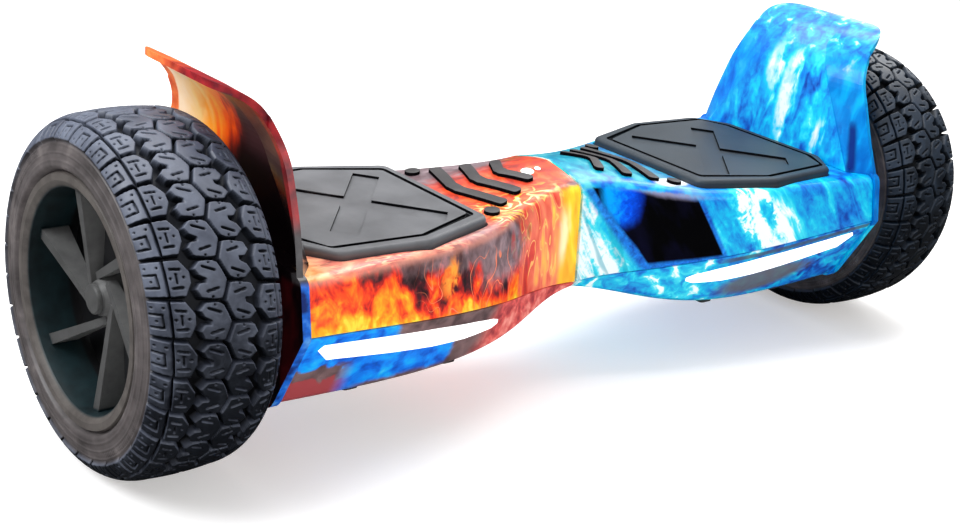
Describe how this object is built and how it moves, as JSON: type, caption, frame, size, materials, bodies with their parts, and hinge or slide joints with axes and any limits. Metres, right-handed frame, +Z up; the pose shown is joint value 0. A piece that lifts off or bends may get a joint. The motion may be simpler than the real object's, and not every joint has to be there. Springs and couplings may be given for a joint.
{
  "type": "self-balancing hoverboard",
  "caption": "Self-balancing hoverboard with two twisting deck halves, rubber foot pads, tall wheel guards and knobbly pneumatic hub-motor wheels.",
  "frame": {"origin": "on the floor, midway between the two wheels, straight below the common axis of the wheels", "axes": "+X along the wheel axles towards the right wheel, -Y towards the front lights, +Z up"},
  "size_m": [0.71, 0.216, 0.2423],
  "materials": {
    "aluminium": "cast",
    "board_green": "solder mask",
    "board_white": "solder mask",
    "bolt_steel": "black oxide",
    "cable_black": "satin",
    "copper": "enamelled wire",
    "cover_black": "satin",
    "fire_gloss": "gloss",
    "ice_gloss": "gloss",
    "lamp_green": "translucent",
    "light_white": "translucent",
    "nylon": "satin",
    "plastic_black": "satin",
    "rim_black": "satin",
    "rubber_black": "matt",
    "rubber_grey": "satin",
    "steel": "satin",
    "tyre_black": "matt",
    "wrap_blue": "shrink wrap"
  },
  "bodies": {
    "left_deck": {"left_axle": "steel", "left_axle_clamp": "aluminium", "left_deck_bolts": "bolt_steel", "left_feet": "rubber_black", "left_fender": "fire_gloss", "left_frame": "aluminium", "left_grip_strips": "rubber_grey", "left_led_boards": "board_white", "left_light_strips": "light_white", "left_lower_shell": "fire_gloss", "left_motor_cable": "cable_black", "left_sensor_board": "board_green", "left_stator": "steel", "left_upper_shell": "fire_gloss", "left_windings": "copper", "pivot_tube": "steel", "stop_pin": "steel", "snap_ring": "steel", "centre_harness": "cable_black", "battery_pack": "wrap_blue", "battery_strap": "steel", "charge_socket": "plastic_black", "status_lights": "lamp_green"},
    "right_deck": {"right_axle": "steel", "right_axle_clamp": "aluminium", "right_deck_bolts": "bolt_steel", "right_feet": "rubber_black", "right_fender": "ice_gloss", "right_frame": "aluminium", "right_grip_strips": "rubber_grey", "right_led_boards": "board_white", "right_light_strips": "light_white", "right_lower_shell": "ice_gloss", "right_motor_cable": "cable_black", "right_sensor_board": "board_green", "right_stator": "steel", "right_upper_shell": "ice_gloss", "right_windings": "copper", "pivot_bushes": "nylon", "main_board": "board_green"},
    "left_wheel": {"left_tyre": "tyre_black", "left_rim": "rim_black", "left_hub_cap": "rim_black", "left_motor_cover": "cover_black", "left_cover_bolts": "bolt_steel", "left_magnets": "steel", "left_bearings": "steel"},
    "right_wheel": {"right_tyre": "tyre_black", "right_rim": "rim_black", "right_hub_cap": "rim_black", "right_motor_cover": "cover_black", "right_cover_bolts": "bolt_steel", "right_magnets": "steel", "right_bearings": "steel"},
    "left_pad": {"left_foot_pad": "rubber_grey", "left_pad_plungers": "plastic_black"},
    "right_pad": {"right_foot_pad": "rubber_grey", "right_pad_plungers": "plastic_black"},
    "power_button": {"power_button": "plastic_black"},
    "charge_cap": {"charge_cap": "rubber_black"}
  },
  "joints": [
    {"name": "deck_twist", "type": "hinge", "parent": "left_deck", "child": "right_deck", "pos_m": [0, 0, 0.108], "axis": [1, 0, 0], "range_deg": [-15, 15]},
    {"name": "left_wheel_spin", "type": "hinge", "parent": "left_deck", "child": "left_wheel", "pos_m": [-0.3125, 0, 0.108], "axis": [1, 0, 0], "continuous": true},
    {"name": "right_wheel_spin", "type": "hinge", "parent": "right_deck", "child": "right_wheel", "pos_m": [0.3125, 0, 0.108], "axis": [1, 0, 0], "continuous": true},
    {"name": "left_pad_press", "type": "slide", "parent": "left_deck", "child": "left_pad", "axis": [0, 0, -1], "range_m": [0, 0.002], "stiffness_N_per_m": 4000},
    {"name": "right_pad_press", "type": "slide", "parent": "right_deck", "child": "right_pad", "axis": [0, 0, -1], "range_m": [0, 0.002], "stiffness_N_per_m": 4000},
    {"name": "power_button_press", "type": "slide", "parent": "right_deck", "child": "power_button", "axis": [0, -1, 0], "range_m": [0, 0.0015], "stiffness_N_per_m": 500},
    {"name": "charge_cap_hinge", "type": "hinge", "parent": "left_deck", "child": "charge_cap", "pos_m": [-0.19, 0.09243, 0.1225], "axis": [1, 0, 0], "range_deg": [0, 110]}
  ]
}
